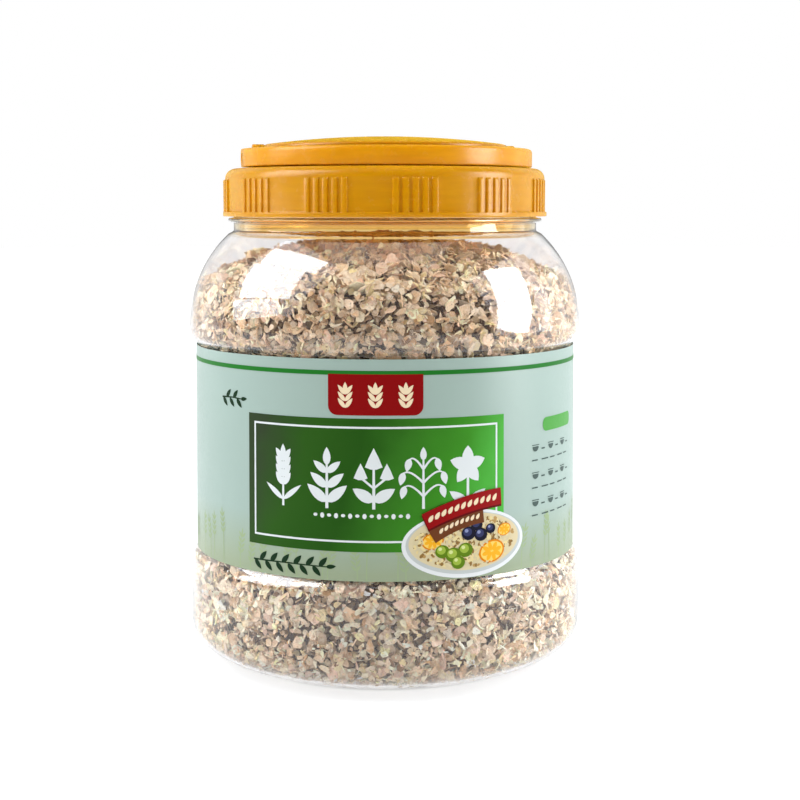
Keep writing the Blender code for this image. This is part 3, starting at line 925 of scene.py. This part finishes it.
def field_print(inks):
    """Faint pale stalks and ears along the label's lower edge, all the way round."""
    rng = np.random.default_rng(SEED)
    foot = LABEL_Z[0] + 0.3
    stalks = 66
    shapes = []
    for i in range(stalks):
        across = -AROUND + 2 * AROUND * (i + rng.uniform(0.1, 0.9)) / stalks
        top = foot + rng.uniform(9, 18)
        lean = rng.uniform(-2.2, 2.2)
        shapes.append(stroke(curve((across, foot), (across, top - 4), (across + lean, top)), 0.45, 0.3))
        for k in range(4):
            at = across + lean * (1 - 0.22 * k)
            for side in (-1, 1):
                shapes.append(petal(at, top - 0.8 - 1.9 * k, 2.8, 0.9, side * 40 + lean * 6, 4))
        shapes.append(petal(across + lean, top - 0.5, 3.4, 0.8, lean * 8, 4))
    printed("field_ears", shapes, 0.5, inks["field"])


def bowl_fruit(x, y):
    """Orange slices, grapes and berries, each with the ink that it is printed in."""
    slices = ((x + 9.6, y - 3.6, 5.4), (x - 13.0, y + 1.6, 4.0), (x + 15.0, y + 3.6, 3.0))
    wedges = []
    for a, b, size in slices:
        for i in range(8):
            turn = pi / 4 * i + 0.3
            wedges.append(ellipse(a + size * 0.46 * cos(turn), b + size * 0.34 * sin(turn),
                                  size * 0.32, size * 0.15, turn, 10))
    drawn = [("orange", [ellipse(a, b, size, size * 0.74, 0.2) for a, b, size in slices]),
             ("zest", [ellipse(a, b, size * 0.86, size * 0.62, 0.2) for a, b, size in slices]),
             ("apricot", wedges)]
    grapes = ((x - 5.6, y - 3.6, 2.9), (x - 1.0, y - 2.2, 2.8), (x - 9.6, y - 2.2, 2.6),
              (x - 3.8, y - 6.4, 2.6))
    berries = ((x + 0.2, y + 3.6, 2.7), (x + 5.0, y + 2.8, 2.6), (x + 3.4, y + 6.4, 2.3),
               (x + 9.0, y + 4.6, 2.0))
    for balls, names in ((grapes, ("grape", "pale_grape", "grape_shine")),
                         (berries, ("berry", "berry_mid", "berry_light"))):
        for step, (name, share) in enumerate(zip(names, (1.0, 0.62, 0.26))):
            drawn.append((name, [ellipse(a - size * 0.16 * step, b + size * 0.18 * step, size * share,
                                         size * share * 0.9, 0, 18) for a, b, size in balls]))
    return drawn


def bowl_print(inks):
    """A bowl of flakes and fruit, with two plain ribbons above it."""
    rng = np.random.default_rng(SEED + 1)
    x, y = 30.2, 56.2
    drawn = [("bowl", [ellipse(x, y, 24.0, 12.1, steps=64)]),
             ("shade", [ellipse(x, y + 0.2, 22.6, 10.9, steps=64)]),
             ("milk", [ellipse(x, y + 0.7, 21.6, 10.1, steps=56)])]
    for name in ("bran", "oat", "husk", "oat", "milk"):
        flakes = []
        while len(flakes) < 120:
            u, v = rng.uniform(-1, 1, 2)
            if u * u + v * v < 0.9:
                flakes.append(ellipse(x + 20.6 * u, y + 0.7 + 9.4 * v, rng.uniform(0.5, 1.1),
                                      rng.uniform(0.3, 0.7), rng.uniform(0, 3.1), 7))
        drawn.append((name, flakes))
    drawn += bowl_fruit(x, y)
    low = curve((x - 13.4, y + 3.2), (x - 4.6, y + 8.8), (x + 6.0, y + 9.6), 10)
    high = curve((x - 15.8, y + 8.6), (x - 2.0, y + 15.2), (x + 13.4, y + 15.8), 12)
    drawn.append(("brown", [stroke(low, 5.2)]))
    drawn.append(("fold", [stroke([(a, b - 0.7) for a, b in high], 6.0)]))
    drawn.append(("ribbon", [stroke(high, 5.9)]))
    marks = [petal(a - 1.0, b - 1.3, 3.0, 1.5, 30) for a, b in high[1:-1]]
    marks += [petal(a - 0.8, b - 1.0, 2.4, 1.2, 30) for a, b in low[2:-1]]
    drawn.append(("cream", marks))
    for layer, (name, outlines) in enumerate(drawn):
        printed(f"bowl_{layer}_{name}", outlines, 6 + layer, inks[name])


def back_print(inks):
    """At the back, two pale plain panels and the label's overlap."""
    for name, side in (("left", -1), ("right", 1)):
        near, far = sorted((side * 118.0, side * (AROUND - 6)))
        printed("back_panel_" + name, [rounded(near, 60, far, 108, 3)], 3, inks["pale"])
    seam = rectangle(AROUND - 4.5, LABEL_Z[0] + 0.1, AROUND, LABEL_Z[1] - 0.1)
    printed("seam", [seam], 2.7, inks["mint"])


def label_inks():
    colors = {
        "stripe": (30, 116, 34), "red": (140, 2, 4), "white": (226, 230, 228), "cream": (244, 222, 184),
        "dark": (22, 50, 26), "tag": (84, 162, 70), "grey": (78, 94, 88), "field": (158, 176, 134),
        "bowl": (232, 234, 232), "shade": (196, 200, 196), "milk": (222, 206, 164), "oat": (236, 216, 158),
        "bran": (190, 152, 92), "husk": (146, 112, 62), "orange": (226, 132, 4), "apricot": (248, 178, 36),
        "zest": (254, 214, 104), "grape": (96, 128, 22), "pale_grape": (158, 182, 66),
        "grape_shine": (214, 224, 148), "berry": (22, 22, 40), "berry_mid": (54, 58, 96),
        "berry_light": (140, 148, 184), "ribbon": (150, 8, 12), "fold": (96, 4, 6), "brown": (110, 60, 30),
        "pale": (186, 206, 198),
    }
    inks = {name: ink("print_" + name, srgb(*color)) for name, color in colors.items()}
    inks["mint"] = ink("print_mint", srgb(157, 178, 166), low=srgb(151, 164, 131))
    inks["panel"] = panel_ink()
    return inks


# The flakes


def heap_height(radius):
    radii, heights = zip(*sorted(CROWN))
    return np.interp(radius, radii, heights)


def base_height(radius):
    """The height of the jar's inner face over its base."""
    radii = (0, FOOT_INNER_RADIUS * 0.6, FOOT_INNER_RADIUS)
    return WALL + np.interp(radius, radii, (PUNT_RISE, PUNT_RISE * 0.62, 0))


def turned(radius, angle, height):
    """Points, or directions, at a radius, an angle round Z and a height."""
    return np.stack([radius * np.cos(angle), radius * np.sin(angle), height], 1)


def make_core(material):
    """The heap's body, under the flakes that show."""
    rng = np.random.default_rng(SEED)
    side = [point for point in moved_inward(inner_wall()[1:], CORE_DEPTH) if 3 < point[1] < CROWN[0][1] - 5]
    base = [(0, PUNT_RISE + WALL + 1.5), (FOOT_INNER_RADIUS * 0.6, 5.2), (FOOT_INNER_RADIUS, 3.2)]
    edge = [(radius - 4 if radius > 60 else radius, height - CORE_DEPTH) for radius, height in CROWN]
    profile = base + side[::3] + edge
    sides = 128
    waves = rng.normal(0, 1, (len(profile), sides))
    for _ in range(2):
        waves = (waves + np.roll(waves, 1, 1) + np.roll(waves, -1, 1)) / 2.2
    rows = {round(height, 6): i for i, (_, height) in enumerate(profile)}

    def bumps(i, height, radius):
        return 0.45 * waves[rows[round(height, 6)], i] if radius > 5 else 0

    return revolved("flakes_core", profile, even_angles(sides), material, offset=bumps, sharp=80)


def flake_outline(rng, sides, raggedness):
    """The rim of a flake of width 1: a broad uneven oval with a split or a broken side."""
    angles = 2 * np.pi * (np.arange(sides) + rng.uniform(-0.3, 0.3, sides)) / sides
    reach = np.ones(sides)
    for waves, height in ((2, 0.1), (3, 0.08), (5, 0.05)):
        reach += height * np.cos(waves * angles + rng.uniform(0, 2 * np.pi))
    reach *= 1 + raggedness * rng.uniform(-1, 0.5, sides)
    reach[rng.integers(0, sides)] *= rng.uniform(0.6, 0.9)
    narrow = rng.uniform(0.6, 0.98)
    return 0.5 * np.stack([reach * np.cos(angles), narrow * reach * np.sin(angles)], 1)


def flake_template(rng, sides, thickness, raggedness, curl, crowned):
    """Points and triangles of one thin bent flake of width 1. A crowned one has a ring inside its rim."""
    rim = flake_outline(rng, sides, raggedness)
    bend = rng.uniform(-curl, curl, 3)

    def lift(points):
        x, y = points[:, 0], points[:, 1]
        return bend[0] * x * x + bend[1] * y * y + bend[2] * x * y

    wobble = lift(rim) + rng.uniform(-0.03, 0.03, sides)
    top_rim = np.column_stack([rim, wobble + thickness * 0.25])
    low_rim = np.column_stack([rim * 0.985, wobble - thickness * 0.25])
    rings = [top_rim, low_rim]
    if crowned:
        inner = rim * 0.56
        dents = rng.uniform(-0.02, 0.015, sides)
        rings.insert(0, np.column_stack([inner, lift(inner) + thickness * 0.5 + dents]))
    middle = np.array([[0, 0, thickness * 0.45], [0, 0, -thickness * 0.5]])
    last = 2 + (len(rings) - 1) * sides
    faces = []
    for i in range(sides):
        j = (i + 1) % sides
        faces += [(0, 2 + i, 2 + j), (1, last + j, last + i)]
        for ring in range(len(rings) - 1):
            high = 2 + ring * sides
            low = high + sides
            faces += [(high + i, low + i, low + j), (high + i, low + j, high + j)]
    return np.concatenate([middle] + rings), np.array(faces)


def frames_for(normals, rng):
    """A rotation for each flake that turns its Z to the normal, with a random spin about it."""
    helper = np.where(np.abs(normals[:, 2:3]) < 0.9, [[0.0, 0.0, 1.0]], [[1.0, 0.0, 0.0]])
    first = np.cross(helper, normals)
    first /= np.linalg.norm(first, axis=1, keepdims=True)
    second = np.cross(normals, first)
    spin = rng.uniform(0, 2 * np.pi, len(normals))[:, None]
    x_axis = first * np.cos(spin) + second * np.sin(spin)
    y_axis = np.cross(normals, x_axis)
    return np.stack([x_axis, y_axis, normals], 2)


def tilted(normals, tilt, rng):
    """Each normal, leaned over by its tilt in a random direction."""
    frames = frames_for(normals, rng)
    return frames[:, :, 2] * np.cos(tilt)[:, None] + frames[:, :, 0] * np.sin(tilt)[:, None]


def wall_places(count, rng):
    """Places and outward normals on the jar's inner wall, where the label doesn't hide it."""
    profile = np.array(inner_wall()[1:])
    profile = profile[profile[:, 1] < CROWN[0][1] + 1]
    steps = np.diff(profile, axis=0)
    lengths = np.linalg.norm(steps, axis=1)
    middles = (profile[:-1] + profile[1:]) / 2
    hidden = (middles[:, 1] > LABEL_Z[0] + 5) & (middles[:, 1] < LABEL_Z[1] - 7)
    weights = np.where(hidden, 0, lengths * middles[:, 0])
    index = rng.choice(len(lengths), count, p=weights / weights.sum())
    share = rng.random(count)[:, None]
    at = profile[index] + steps[index] * share
    along = steps[index] / lengths[index][:, None]
    angle = rng.uniform(0, 2 * np.pi, count)
    return turned(at[:, 0], angle, at[:, 1]), turned(along[:, 1], angle, -along[:, 0])


def crown_places(count, rng):
    """Places and upward normals on top of the heap."""
    radius = CROWN_REACH * np.sqrt(rng.random(count))
    angle = rng.uniform(0, 2 * np.pi, count)
    slope = (heap_height(radius + 1) - heap_height(radius - 1)) / 2
    normals = turned(-slope, angle, np.ones(count))
    places = turned(radius, angle, heap_height(radius) - 0.3)
    return places, normals / np.linalg.norm(normals, axis=1, keepdims=True)


def base_places(count, rng):
    """Places over the jar's base, with normals that point down."""
    radius = (FOOT_RADIUS + 1) * np.sqrt(rng.random(count))
    angle = rng.uniform(0, 2 * np.pi, count)
    return turned(radius, angle, base_height(radius)), np.tile([0.0, 0.0, -1.0], (count, 1))


def kept_inside(points):
    """Moves each flake back from the wall, square to it, until it reaches only just into it.

    It is also lifted off the base and lowered under the crest.
    """
    profile = np.array(inner_wall()[1:])
    order = np.argsort(profile[:, 1])
    heights, radii = profile[order, 1], profile[order, 0]
    every = np.arange(len(points))
    for _ in range(6):
        up = points[..., 2]
        slope = (np.interp(up + 0.3, heights, radii) - np.interp(up - 0.3, heights, radii)) / 0.6
        square = 1 / np.sqrt(1 + slope ** 2)
        over = np.hypot(points[..., 0], points[..., 1]) - np.interp(up, heights, radii)
        depth = over * square - WALL_REACH
        worst = depth.argmax(1)
        deepest = np.maximum(depth[every, worst], 0)
        outward = points.mean(1)[:, :2]
        outward /= np.linalg.norm(outward, axis=1, keepdims=True) + 1e-9
        back = deepest * square[every, worst]
        points[..., :2] -= (outward * back[:, None])[:, None, :]
        points[..., 2] += (back * slope[every, worst])[:, None]
    lowest = base_height(np.hypot(points[..., 0], points[..., 1])) - WALL_REACH
    under = np.maximum(lowest - points[..., 2], 0).max(1)
    points[..., 2] += under[:, None]
    points[..., 2] -= np.maximum(points[..., 2].max(1) - CREST_Z, 0)[:, None]
    return points


PALETTE = (
    ((248, 232, 206), 0.24), ((240, 218, 186), 0.24), ((226, 198, 160), 0.17), ((240, 210, 186), 0.11),
    ((228, 214, 162), 0.1), ((192, 158, 114), 0.07), ((246, 238, 222), 0.05), ((146, 112, 74), 0.02),
)


def painted_light_by_height(heights):
    """Painted light by height: how much of each colour shows at each height. Low flakes are painted
    lighter, and those near the lid yellower, for the lid's yellow light.
    """
    levels = (50, 122, 142, 155, 161)
    rows = ((1.23, 1.08, 1.1, 1.1, 1.02), (1.12, 0.93, 0.96, 1.0, 0.9), (1.06, 0.77, 0.82, 0.84, 0.64),
            (1, 1, 1, 1, 1))
    return np.stack([np.interp(heights, levels, row) for row in rows], 1)


def flake_tints(places, darken, rng):
    """A colour for each flake, by chance, with painted light by its height."""
    count = len(places)
    colors = np.array([srgb(*color) for color, _ in PALETTE])
    weights = np.array([weight for _, weight in PALETTE])
    tints = colors[rng.choice(len(PALETTE), count, p=weights / weights.sum())]
    tints = tints * painted_light_by_height(places[:, 2]) * darken * rng.normal(1.0, 0.17, (count, 1)).clip(0.58, 1.32)
    tints[:, 3] = 1
    return tints


def make_flakes(name, counts, sizes, sides, thickness, depth, material, seed,
                crowned=True, stretch=1.0, darken=1.0, ragged=0.12, lean=18):
    """One kind of flake. counts are how many lie on the wall, on the heap's top and over the base."""
    rng = np.random.default_rng(seed)
    groups = [spread(count, rng) for spread, count in zip((wall_places, crown_places, base_places), counts)]
    places, normals = (np.concatenate(parts) for parts in zip(*groups))
    count = len(places)
    size = sizes[0] + (sizes[1] - sizes[0]) * rng.beta(1.6, 2.4, count)
    templates = [flake_template(rng, sides, thickness, ragged, 0.5, crowned) for _ in range(40)]
    pick = rng.integers(0, len(templates), count)
    tilt = np.radians(rng.triangular(0, lean, 90, count))
    frames = frames_for(tilted(normals, tilt, rng), rng)
    scale = np.stack([size, size / stretch, np.sqrt(size * np.mean(sizes))], 1)
    shapes = np.array([template[0] for template in templates])[pick] * scale[:, None, :]
    points = np.einsum("nij,nvj->nvi", frames, shapes)
    sink = depth * rng.random(count) ** 1.5
    points = kept_inside(points + (places - normals * sink[:, None])[:, None, :])
    corner_count = shapes.shape[1]
    faces = templates[0][1][None] + (np.arange(count) * corner_count)[:, None, None]
    mesh = bpy.data.meshes.new(name)
    mesh.from_pydata(points.reshape(-1, 3) * MM, [], faces.reshape(-1, 3))
    tints = np.repeat(flake_tints(places, darken, rng), corner_count, axis=0)
    layer = mesh.color_attributes.new("tint", "FLOAT_COLOR", "POINT")
    layer.data.foreach_set("color", tints.clip(0, 1).ravel())
    shade(mesh, 38)
    mesh.materials.append(material)
    settle(in_scene(name, mesh), "container", "flakes", "flakes")


def fill_jar():
    settle(make_core(core_material()), "container", "flakes", "flakes")
    oat = flake_material("rolled_oat", srgb(166, 130, 88))
    hull = flake_material("rolled_buckwheat", srgb(124, 96, 62))
    make_flakes("flakes_large", (60, 110, 6), (7.0, 12), 14, 0.06, 2.2, oat, SEED + 1, ragged=0.16)
    make_flakes("flakes_oat", (1300, 620, 80), (4.0, 6.8), 10, 0.08, 3.6, oat, SEED + 2)
    make_flakes("flakes_buckwheat", (850, 420, 70), (3.8, 6.2), 10, 0.08, 3.8, hull, SEED + 3,
                darken=0.95, lean=26)
    make_flakes("flakes_small", (3700, 1600, 240), (2.5, 4.4), 8, 0.11, 3.6, oat, SEED + 4,
                crowned=False, ragged=0.2, lean=30)
    make_flakes("flakes_hulls", (2700, 1200, 160), (2.3, 4.2), 8, 0.11, 3.8, hull, SEED + 5,
                crowned=False, darken=0.92, ragged=0.22, lean=38)
    make_flakes("flakes_crumbs", (5000, 2200, 180), (1.2, 2.6), 6, 0.2, 2.6, oat, SEED + 6,
                crowned=False, ragged=0.3, lean=45)
    make_flakes("flakes_slivers", (2400, 1000, 60), (3.0, 6.5), 6, 0.09, 2.4, hull, SEED + 7,
                crowned=False, stretch=3.4, darken=1.08, lean=50)


# Floor, light and camera


def make_stage():
    bpy.ops.mesh.primitive_circle_add(vertices=96, radius=6, fill_type="NGON")
    floor = bpy.context.object
    floor.name = "studio_floor"
    floor.data.materials.append(floor_material())


def direction(azimuth, elevation):
    """A unit vector from the jar. Azimuth 0 is towards the camera and grows to the right."""
    a = radians(azimuth)
    e = radians(elevation)
    return Vector((sin(a) * cos(e), -cos(a) * cos(e), sin(e)))


def softbox(name, azimuth, elevation, distance, width, height, radiance, lean, color=WHITE):
    """A rectangular lamp that faces the jar and isn't seen itself."""
    light = bpy.data.lights.new(name, "AREA")
    light.shape = "RECTANGLE"
    light.size = width
    light.size_y = height
    light.energy = radiance * pi * width * height
    light.color = color
    lamp = in_scene(name, light)
    away = direction(azimuth, elevation)
    lamp.location = Vector((0, 0, AIM_HEIGHT)) + away * distance
    turn = away.to_track_quat("Z", "Y") @ Quaternion((0, 0, 1), radians(lean))
    lamp.rotation_euler = turn.to_euler()
    lamp.visible_camera = False
    return lamp


def make_lights():
    """The first six lamps show in gloss alone, as windows and soft veils. The others light surfaces."""
    for name, azimuth, elevation, width, height, radiance, lean in (
            ("window_left_high", -80, 50, 0.72, 0.22, 9.0, 14),
            ("window_left", -80, 32, 0.7, 0.44, 8.0, 14),
            ("window_left_low", -80, 13, 0.66, 0.24, 4.5, 14),
            ("window_right", 82, 19, 0.48, 0.86, 12.0, -16),
            ("veil_left", -116, 4, 0.5, 0.6, 0.7, 0),
            ("veil_right", 114, 4, 0.56, 0.6, 0.9, 0)):
        lamp = softbox(name, azimuth, elevation, 1.1, width, height, radiance, lean)
        lamp.visible_diffuse = False
    for name, azimuth, elevation, distance, size, radiance, color in (
            ("softbox_left", -77, 36, 1.1, 1.0, 3.65, COOL),
            ("softbox_right", 88, 18, 1.1, 1.0, 3.65, COOL),
            ("overhead", 0, 88, 1.5, 1.4, 1.6, WHITE)):
        lamp = softbox(name, azimuth, elevation, distance, size, size, radiance, 0, color)
        lamp.visible_glossy = False


def make_world():
    """A white backdrop behind the jar and a dimmer room in front of it and in reflections."""
    world = bpy.data.worlds.new("studio")
    bpy.context.scene.world = world
    world.use_nodes = True
    tree = world.node_tree
    background = tree.nodes["Background"]
    parts = axes(tree, node(tree, "TexCoord").outputs["Generated"])
    path = node(tree, "LightPath").outputs
    mirrored = remapped(tree, calculated(tree, "ABSOLUTE", parts["X"]), 0.14, 0.34, 0.03, 0.88)
    behind = remapped(tree, path["Is Glossy Ray"], 0.0, 1.0, 1.0, mirrored)
    front = remapped(tree, path["Is Glossy Ray"], 0.0, 1.0, 0.175, 0.06)
    room = remapped(tree, parts["Y"], 0.4, 0.6, front, behind)
    through = calculated(tree, "SUBTRACT", path["Is Transmission Ray"], path["Diffuse Depth"])
    seen = calculated(tree, "MAXIMUM", path["Is Camera Ray"], through)
    feed(background, "Strength", calculated(tree, "MAXIMUM", seen, room))
    background.inputs["Color"].default_value = (1, 1, 1, 1)


def make_camera():
    camera = bpy.data.cameras.new("camera")
    camera.sensor_width = SENSOR_MM
    camera.lens = FOCAL_PIXELS / FRAME_PIXELS * SENSOR_MM
    placed = in_scene("camera", camera)
    placed.location = Vector(CAMERA_AT) * MM
    placed.rotation_euler = (pi / 2 - CAMERA_PITCH, 0, 0)
    bpy.context.scene.camera = placed


def main():
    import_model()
    bpy.context.scene.view_settings.view_transform = "Standard"
    make_camera()
    make_world()
    make_lights()
    make_stage()
    settle(make_jar(clear_plastic()), "container", "jar", "jar")
    yellow = lid_plastic("lid_yellow", srgb(213, 145, 0), srgb(205, 137, 0))
    orange = lid_plastic("handle_yellow", srgb(234, 158, 4), srgb(222, 145, 0))
    settle(make_lid(yellow), "container", "lid", "lid")
    settle(make_lugs(yellow), "container", "lid")
    settle(make_handle(orange), "handle", "handle", "handle")
    inks = label_inks()
    settle(make_label(inks["mint"]), "container", "label", "label")
    front_print(inks)
    side_print(inks)
    field_print(inks)
    bowl_print(inks)
    back_print(inks)
    fill_jar()


main()
